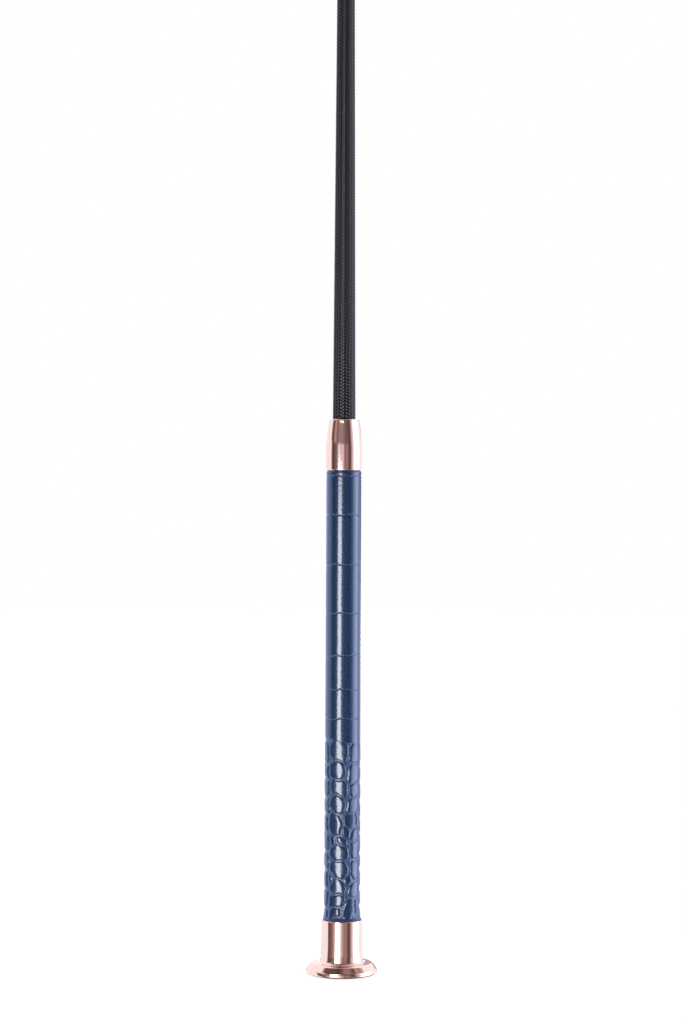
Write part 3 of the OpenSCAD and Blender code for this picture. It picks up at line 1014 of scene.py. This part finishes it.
def build_seam_stitches():
    bm = bmesh.new()
    half = math.degrees(SEAM_HALF_SPAN / SHEET_R)
    heights = np.arange(GRIP_Z0 / MM + 3.6, GRIP_Z1 / MM - 1.5, SEAM_PITCH)
    for z in heights:
        angle = float(seam_angle(z))
        start, _ = on_grip(angle - half, z + SEAM_SLANT, -SEAM_END_DEPTH)
        end, _ = on_grip(angle + half, z - SEAM_SLANT, -SEAM_END_DEPTH)
        middle, outward = on_grip(angle, z, -SEAM_MIDDLE_DEPTH)
        path, radii = stitch_arch(start, end, outward, SEAM_THREAD_R * MM, 0.25 * MM)
        # The thread is pulled down into the slot between the leather's two edges
        path[3] = path[3].lerp(middle, 0.6)
        tube_along(bm, path, radii, outward)
    print("%d seam stitches" % len(heights))
    return mesh_piece("grip_seam_thread", bm)


seam_thread = build_seam_stitches()

# %% Twisted thread finish
def thread_group():
    """The slanting plies of a twisted thread."""
    group, scale, end = node_group("twisted_thread", "Height")
    wave = add_node(group, "TexWave", Vector=object_coords(group), Scale=scale, Distortion=1.2,
                    Detail=2.0)
    wave.wave_type = "BANDS"
    wave.bands_direction = "DIAGONAL"
    feed(group, end.inputs["Height"], wave.outputs["Fac"])
    return group


TWISTED_THREAD = thread_group()


def thread_material(name, dark, light, roughness):
    material, tree = new_material(name)
    ply_relief_and_shade = use_group(tree, TWISTED_THREAD, 700.0)["Height"]
    # The thread is painted darker in the grooves between its plies: painted shade along the twist.
    principled(tree, Roughness=roughness, Sheen_Weight=0.2, Normal=bump(tree, ply_relief_and_shade, 0.00008),
               Base_Color=mix_colour(tree, ply_relief_and_shade, dark, light))
    return material


navy_thread = thread_material("navy_thread", (0.01, 0.03, 0.09), (0.05, 0.11, 0.25), 0.6)
finish_piece(seam_thread, navy_thread, "crop", "seam_thread", "grip_seam_stitches")

# %% [markdown]
# ## The braided cover
#
# A braiding machine lays thirty-two flat waxed strands round the rod, half of them winding each
# way. Every strand goes over two and under two, so sixteen upright columns of strokes
# stand round the shaft, slanting right and left in turn. One strand is spun as a helix, then its
# rings are moved to follow the taper and to rise in every second column. Seven turned copies share
# its phase. The eight strands between them meet the columns half a step later, so they are a
# second set, and the left-hand strands are two more.

# %% Sizes of the braid
STRANDS_EACH_WAY = 16
BRAID_LEAD = 21.8 * MM
STRAND_STEPS = 64
STEP_RISE = BRAID_LEAD / STRAND_STEPS
# A strand's section: its corners in degrees, half its width as a share of the room it has, and
# half its thickness at the collar
CORNERS = [0, 48, 132, 180, 228, 312]
STRAND_SIDES = len(CORNERS)
HALF_WIDTH_SHARE = 0.46
STRAND_HALF_THICK = 0.23 * MM
# How far a strand swings in and out as it weaves, and how deep its middle lies, in half thicknesses
WEAVE_SWING = 1.2
WEAVE_DEPTH = 1.4
START_R = 5 * MM
START_SECTION_R = 0.2 * MM
BRAID_Z0 = collar_hi.z - 2.5 * MM
BRAID_Z1 = tip_hi.z - 0.5 * MM
BRAID_BASE_R = 4.72 * MM
BRAID_TIP_R = 2.69 * MM


def braid_radius(z):
    t = (z - collar_hi.z) / (braid_hi.z - collar_hi.z)
    return BRAID_BASE_R + (BRAID_TIP_R - BRAID_BASE_R) * t


def strand_size(z):
    """Half width and half thickness of a strand where the braid has this radius."""
    girth = 2 * math.pi * braid_radius(z)
    room = girth / STRANDS_EACH_WAY * math.sin(math.atan2(BRAID_LEAD, girth))
    half_thick = STRAND_HALF_THICK * math.sqrt(braid_radius(z) / BRAID_BASE_R)
    return HALF_WIDTH_SHARE * room, half_thick


print("strands %.2f mm wide at the collar" % (2 * strand_size(BRAID_Z0)[0] / MM))


# %% One strand of the braid
def build_strand(bm, hand):
    """A strand that winds right (hand 1) or left (hand -1), each ring numbered for the weave."""
    steps = int((BRAID_Z1 - BRAID_Z0) / STEP_RISE)
    side_layer = bm.verts.layers.int.new("side")
    step_layer = bm.verts.layers.int.new("step")
    ring = standing_ring(bm, STRAND_SIDES, START_SECTION_R, START_R, BRAID_Z0)
    for i, vert in enumerate(ring):
        vert[side_layer] = i
    bmesh.ops.spin(bm, geom=ring + ring_edges(ring), cent=(0, 0, 0), axis=(0, 0, 1), steps=steps,
                   angle=2 * math.pi * steps / STRAND_STEPS * hand, dvec=(0, 0, STEP_RISE))
    for vert in bm.verts:
        offset = START_SECTION_R * math.sin(2 * math.pi * vert[side_layer] / STRAND_SIDES)
        vert[step_layer] = round((vert.co.z - BRAID_Z0 - offset) / STEP_RISE)
    return side_layer, step_layer


def strand_point(step, side, hand, which):
    """Where one corner of the strand's section goes; which is 0 or 1 for the two sets."""
    z = BRAID_Z0 + STEP_RISE * step
    turn = hand * 2 * math.pi * step / STRAND_STEPS + which * 2 * math.pi / STRANDS_EACH_WAY
    if hand < 0:
        turn += math.pi / STRANDS_EACH_WAY
    half_width, half_thick = strand_size(z)
    # On top in every second column, with a long gentle arch over each float
    weave = WEAVE_SWING * math.cos(STRANDS_EACH_WAY / 2 * turn) * hand
    radius = braid_radius(z) + half_thick * (weave - WEAVE_DEPTH)
    outward = Vector((math.cos(turn), math.sin(turn), 0))
    around = Vector((-math.sin(turn), math.cos(turn), 0)) * hand
    along = (around * (2 * math.pi * braid_radius(z)) + Vector((0, 0, BRAID_LEAD))).normalized()
    across = along.cross(outward).normalized()
    corner = math.radians(CORNERS[side])
    return (outward * (radius + half_thick * math.sin(corner)) + Vector((0, 0, z))
            + across * (half_width * math.cos(corner)))


# %% The four sets of strands
def build_braid_set(name, hand, which):
    bm = bmesh.new()
    side_layer, step_layer = build_strand(bm, hand)
    close_ends(bm, STRAND_SIDES)
    for vert in bm.verts:
        vert.co = strand_point(vert[step_layer], vert[side_layer], hand, which)
    source = bm.verts[:] + bm.edges[:] + bm.faces[:]
    for i in range(1, STRANDS_EACH_WAY // 2):
        copy = bmesh.ops.duplicate(bm, geom=source)["geom"]
        turn = Matrix.Rotation(4 * math.pi * i / STRANDS_EACH_WAY, 3, "Z")
        bmesh.ops.rotate(bm, verts=new_verts(copy), cent=(0, 0, 0), matrix=turn)
    piece = mesh_piece(name, bm)
    sides = read_layer(piece.data, "side")
    steps = read_layer(piece.data, "step")
    step_length = math.hypot(2 * math.pi * BRAID_BASE_R, BRAID_LEAD) / STRAND_STEPS
    write_layer(piece.data, "across", np.cos(2 * math.pi * sides / STRAND_SIDES))
    write_layer(piece.data, "along", steps * step_length / MM)
    return piece


braid_sets = [
    build_braid_set("braid_right_first", 1, 0),
    build_braid_set("braid_right_second", 1, 1),
    build_braid_set("braid_left_first", -1, 0),
    build_braid_set("braid_left_second", -1, 1),
]
print("%d strands" % (len(braid_sets) * STRANDS_EACH_WAY // 2))

# %% [markdown]
# ## Waxed black strands
#
# Each strand is a flat bundle of parallel filaments. They show as hair-fine grooves along it and
# catch the light in a narrow streak, so the streak runs broken down the shaft.

# %% Braid finish and the dark sleeve of painted shade under it
def strand_material():
    material, tree = new_material("waxed_black_strand")
    along = math_node(tree, "MULTIPLY", attribute_fac(tree, "along"), 0.35)
    sheet = add_node(tree, "CombineXYZ", X=attribute_fac(tree, "across"), Y=along)
    filament = add_node(tree, "TexNoise", Vector=sheet.outputs["Vector"], Scale=4.5, Detail=2.0)
    groove_and_shade = filament.outputs["Fac"]
    # The strands are painted darker in the hair-fine grooves between their filaments: painted shade.
    principled(tree, Specular_IOR_Level=0.52, Specular_Tint=(0.92, 0.93, 1.0, 1),
               Base_Color=mix_colour(tree, groove_and_shade, (0.001, 0.001, 0.0015), (0.005, 0.0045, 0.006)),
               Roughness=mix_node(tree, groove_and_shade, 0.27, 0.35), Normal=bump(tree, groove_and_shade, 0.00002))
    return material


def plain_black(name, colour, roughness):
    material, tree = new_material(name)
    light = tuple(c * 1.8 for c in colour)
    tone = use_group(tree, LEATHER_GRAIN, 3000.0)["Tone"]
    principled(tree, Roughness=roughness, Base_Color=mix_colour(tree, tone, colour, light))
    return material


BRAID_GAP_SHADE_DEPTH = 0.62 * MM


def build_braid_gap_shade():
    """A near-black sleeve inside the braid, painted shade that closes the gaps between the strands."""
    rows = np.linspace(BRAID_Z0 + 0.3 * MM, BRAID_Z1 - 0.3 * MM, 40)
    outline = [(0, rows[0])] + [(braid_radius(z) - BRAID_GAP_SHADE_DEPTH, z) for z in rows] + [(0, rows[-1])]
    return spin_outline("braid_core", outline, steps=48)


black_strand = strand_material()
for braid_set in braid_sets:
    finish_piece(braid_set, black_strand, "crop", "braid", "braided_cover")
shadow_black = plain_black("braid_shadow", (0.004, 0.004, 0.005), 0.8)
finish_piece(build_braid_gap_shade(), shadow_black, "crop", "braid")

# %% [markdown]
# ## The keeper
#
# The keeper, the flap at the tip, is two layers of bridle leather sewn back to back. Each layer
# runs on as a narrow tongue that hugs the rod and is bound down with thread. So each layer is one
# piece from the tongue to the round end. A flat sheet gets the outline of the layer, bends into a
# trough where it hugs the rod, and is thickened. The layers fold at the neck when the keeper moves.

# %% Outline and bend of one layer
KEEPER_Z1 = leaf_hi.z
KEEPER_HALF_W = leaf_hi.x
NECK_HALF_W = 4.5 * MM
TONGUE_HALF_W = 4.1 * MM
TONGUE_ROUND = 2.5 * MM
FLARE = 16 * MM
CORNER_R = 8 * MM
PLY = 1.4 * MM
TONGUE = 1.0 * MM
ROD_END = braid_hi.z
BEND_END = flex_z - 1.2 * MM


def half_width(z):
    """Half width of the layer at this height."""
    to_end = KEEPER_Z1 - z
    if to_end < CORNER_R:
        return KEEPER_HALF_W - CORNER_R + math.sqrt(max(0, CORNER_R ** 2 - (CORNER_R - to_end) ** 2))
    if z > flex_z:
        return NECK_HALF_W + (KEEPER_HALF_W - NECK_HALF_W) * rise(z, flex_z, flex_z + FLARE)
    start = z - tongue_lo.z
    if start < TONGUE_ROUND:
        return (TONGUE_HALF_W - TONGUE_ROUND
                + math.sqrt(max(0, TONGUE_ROUND ** 2 - (TONGUE_ROUND - start) ** 2)))
    return TONGUE_HALF_W + (NECK_HALF_W - TONGUE_HALF_W) * rise(z, ROD_END, flex_z)


def ply_point(c, z, depth):
    """A point of the layer: c across, z up, depth out from its inner face; front is -Y."""
    flatness = rise(z, ROD_END, BEND_END)
    apex = braid_radius(min(z, ROD_END)) * (1 - flatness)
    curve = (1 - flatness) / braid_radius(ROD_END)
    thick = TONGUE + (PLY - TONGUE) * flatness
    if curve < 1e-3:
        return Vector((c, -(apex + depth * thick), z))
    radius = 1 / curve
    turn = c * curve
    reach = radius + depth * thick
    return Vector((reach * math.sin(turn), -(apex - radius + reach * math.cos(turn)), z))


# %% Cut, bend and thicken
PLY_COLUMNS = 24
# The outer edge: the width in mm over which it falls, by this share of the thickness
EDGE_FALL_WIDTH = 0.5
EDGE_FALL = 0.28
EDGE_BEVEL = 0.16 * MM
SHARP_ANGLE = 0.9


def ply_heights():
    round_end = tongue_lo.z + TONGUE_ROUND * (1 - np.cos(np.radians(np.linspace(8, 90, 10))))
    tongue = np.linspace(round_end[-1], ROD_END, 22)[1:]
    neck = np.linspace(ROD_END, flex_z + 4 * MM, 26)[1:]
    flap = np.linspace(flex_z + 4 * MM, KEEPER_Z1 - CORNER_R, 50)[1:]
    ends = KEEPER_Z1 - CORNER_R + CORNER_R * np.sin(np.radians(np.linspace(0, 89.5, 22)))[1:]
    return np.concatenate([round_end, tongue, neck, flap, ends])


def build_ply(name, side):
    """One layer, rounded over at its outer edge: side -1 is the front, 1 the back."""
    heights = ply_heights()
    bm = bmesh.new()
    bmesh.ops.create_grid(bm, x_segments=PLY_COLUMNS, y_segments=len(heights) - 1, size=1.0)
    border = bm.verts.layers.float.new("border")
    for vert in bm.verts:
        row = round((vert.co.y + 1) / 2 * (len(heights) - 1))
        z = float(heights[row])
        width = half_width(z)
        c = width * math.sin(vert.co.x * math.pi / 2)
        vert[border] = min(width - abs(c), KEEPER_Z1 - z, z - tongue_lo.z) / MM
        vert.co = Vector((c, 0, z))
    outer = set(new_verts(bmesh.ops.extrude_face_region(bm, geom=bm.faces[:])["geom"]))
    for vert in bm.verts:
        near_edge = max(0.0, 1 - vert[border] / EDGE_FALL_WIDTH)
        depth = 1.0 - EDGE_FALL * near_edge * near_edge if vert in outer else 0.0
        place = ply_point(vert.co.x, vert.co.z, depth)
        vert.co = Vector((place.x, place.y * -side, place.z))
    bmesh.ops.recalc_face_normals(bm, faces=bm.faces)
    rim = [e for e in bm.edges if len(e.link_faces) == 2 and e.calc_face_angle(0) > SHARP_ANGLE]
    bmesh.ops.bevel(bm, geom=rim, offset=EDGE_BEVEL, segments=2, profile=0.5, affect="EDGES",
                    material=-1)
    return mesh_piece(name, bm)


# %% Black bridle leather
def bridle_leather():
    material, tree = new_material("black_bridle_leather")
    grain = use_group(tree, LEATHER_GRAIN, 1500.0)
    edge = step_between(tree, attribute_fac(tree, "border"), 0.35, 0.05)
    face = mix_colour(tree, grain["Tone"], (0.007, 0.007, 0.008), (0.022, 0.020, 0.021))
    principled(tree, Specular_IOR_Level=0.5,
               Base_Color=mix_colour(tree, edge, face, (0.030, 0.022, 0.018)),
               Roughness=mix_node(tree, grain["Tone"], 0.34, 0.5),
               Normal=bump(tree, grain["Height"], 0.00012))
    return material


black_bridle = bridle_leather()
for label, side in (("front", -1), ("back", 1)):
    ply = build_ply("keeper_ply_" + label, side)
    ply.data.materials.append(black_bridle)
    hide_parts("keeper_tongue_" + label, "keeper_leaf_" + label)
    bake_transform(ply)
    print("%s: %d faces" % (ply.name, len(ply.data.polygons)))

# %% [markdown]
# ## Border stitches and the binding
#
# The two layers are lockstitched 2.4 mm in from the edge, so each stitch shows on both faces. The
# binding is one thread wound in close turns over the tongues, from their ends to the rod's tip.
# It is a small circle spun as a helix and then laid on the tapered tongues.

# %% Border stitches
KEEPER_INSET = 2.4 * MM
KEEPER_PITCH = 3.2 * MM
STITCH_LENGTH = 2.3 * MM
BORDER_THREAD_R = 0.27 * MM
BORDER_SINK = 0.2 * MM


def border_line():
    """The stitch line on one half of the flap, as closely spaced points from neck to end."""
    points = []
    for z in np.linspace(flex_z + 5 * MM, KEEPER_Z1 - CORNER_R, 200):
        slope = (half_width(z + 0.5 * MM) - half_width(z - 0.5 * MM)) / MM
        points.append(Vector((half_width(z) - KEEPER_INSET * math.sqrt(1 + slope * slope), 0, z)))
    turn_r = CORNER_R - KEEPER_INSET
    for a in np.radians(np.linspace(0, 90, 60)):
        points.append(Vector((KEEPER_HALF_W - CORNER_R + turn_r * math.cos(a), 0,
                              KEEPER_Z1 - CORNER_R + turn_r * math.sin(a))))
    points.append(Vector((0, 0, KEEPER_Z1 - KEEPER_INSET)))
    return points


def walk(points, distance):
    """The point and direction at a distance along a chain of points."""
    for a, b in zip(points, points[1:]):
        length = (b - a).length
        if distance <= length:
            return a.lerp(b, distance / length), (b - a).normalized()
        distance -= length
    return points[-1], (points[-1] - points[-2]).normalized()


def build_border_stitches():
    bm = bmesh.new()
    line = border_line()
    total = sum((b - a).length for a, b in zip(line, line[1:]))
    count = round(total / KEEPER_PITCH - 0.5)
    pitch = total / (count + 0.5)
    for face in (-1, 1):
        outward = Vector((0, face, 0))
        for mirror in (-1, 1):
            # The last stitch crosses the middle of the end, so only one half has it
            for i in range(count + (1 if mirror > 0 else 0)):
                middle, along = walk(line, pitch * (i + 0.5))
                start = middle - along * STITCH_LENGTH / 2 + outward * PLY
                end = middle + along * STITCH_LENGTH / 2 + outward * PLY
                for point in (start, end):
                    point.x *= mirror
                path, radii = stitch_arch(start, end, outward, BORDER_THREAD_R, BORDER_SINK)
                tube_along(bm, path, radii, outward)
    print("%d border stitches" % (2 * (2 * count + 1)))
    return mesh_piece("keeper_border_thread", bm)


black_thread = thread_material("black_thread", (0.006, 0.006, 0.007), (0.035, 0.033, 0.034), 0.55)
finish_piece(build_border_stitches(), black_thread, "keeper", "seam_thread", "keeper_stitches")

# %% Binding
BINDING_TURN = 0.58 * MM
BINDING_R = 0.31 * MM
BINDING_SIDES = 10
STEPS_A_TURN = 40
BINDING_START_R = 4 * MM


def build_binding():
    z0, z1 = tip_lo.z + BINDING_R, ROD_END - BINDING_R
    turns = (z1 - z0) / BINDING_TURN
    steps = round(turns * STEPS_A_TURN)
    bm = bmesh.new()
    ring = standing_ring(bm, BINDING_SIDES, BINDING_R, BINDING_START_R, z0)
    bmesh.ops.spin(bm, geom=ring + ring_edges(ring), cent=(0, 0, 0), axis=(0, 0, 1), steps=steps,
                   angle=2 * math.pi * turns, dvec=(0, 0, (z1 - z0) / steps))
    close_ends(bm, BINDING_SIDES)
    for vert in bm.verts:
        outward = Vector((vert.co.x, vert.co.y, 0)).normalized()
        # The thread presses a quarter of its half thickness into the tongues
        bed = braid_radius(vert.co.z) + TONGUE + BINDING_R * 0.75
        vert.co += outward * (bed - BINDING_START_R)
    return mesh_piece("tip_binding_thread", bm)


def build_binding_bed():
    """The waxed bed under the turns, so no daylight shows between them."""
    rows = np.linspace(tip_lo.z + 0.2 * MM, ROD_END - 0.2 * MM, 12)
    bed = [(braid_radius(z) + TONGUE + 0.05 * MM, z) for z in rows]
    return spin_outline("tip_binding_bed", [(0, rows[0])] + bed + [(0, rows[-1])], steps=64)


finish_piece(build_binding(), black_thread, "crop", "binding_thread", "tip_binding")
wax_black = plain_black("binding_wax", (0.008, 0.008, 0.009), 0.6)
finish_piece(build_binding_bed(), wax_black, "crop", "binding_thread")
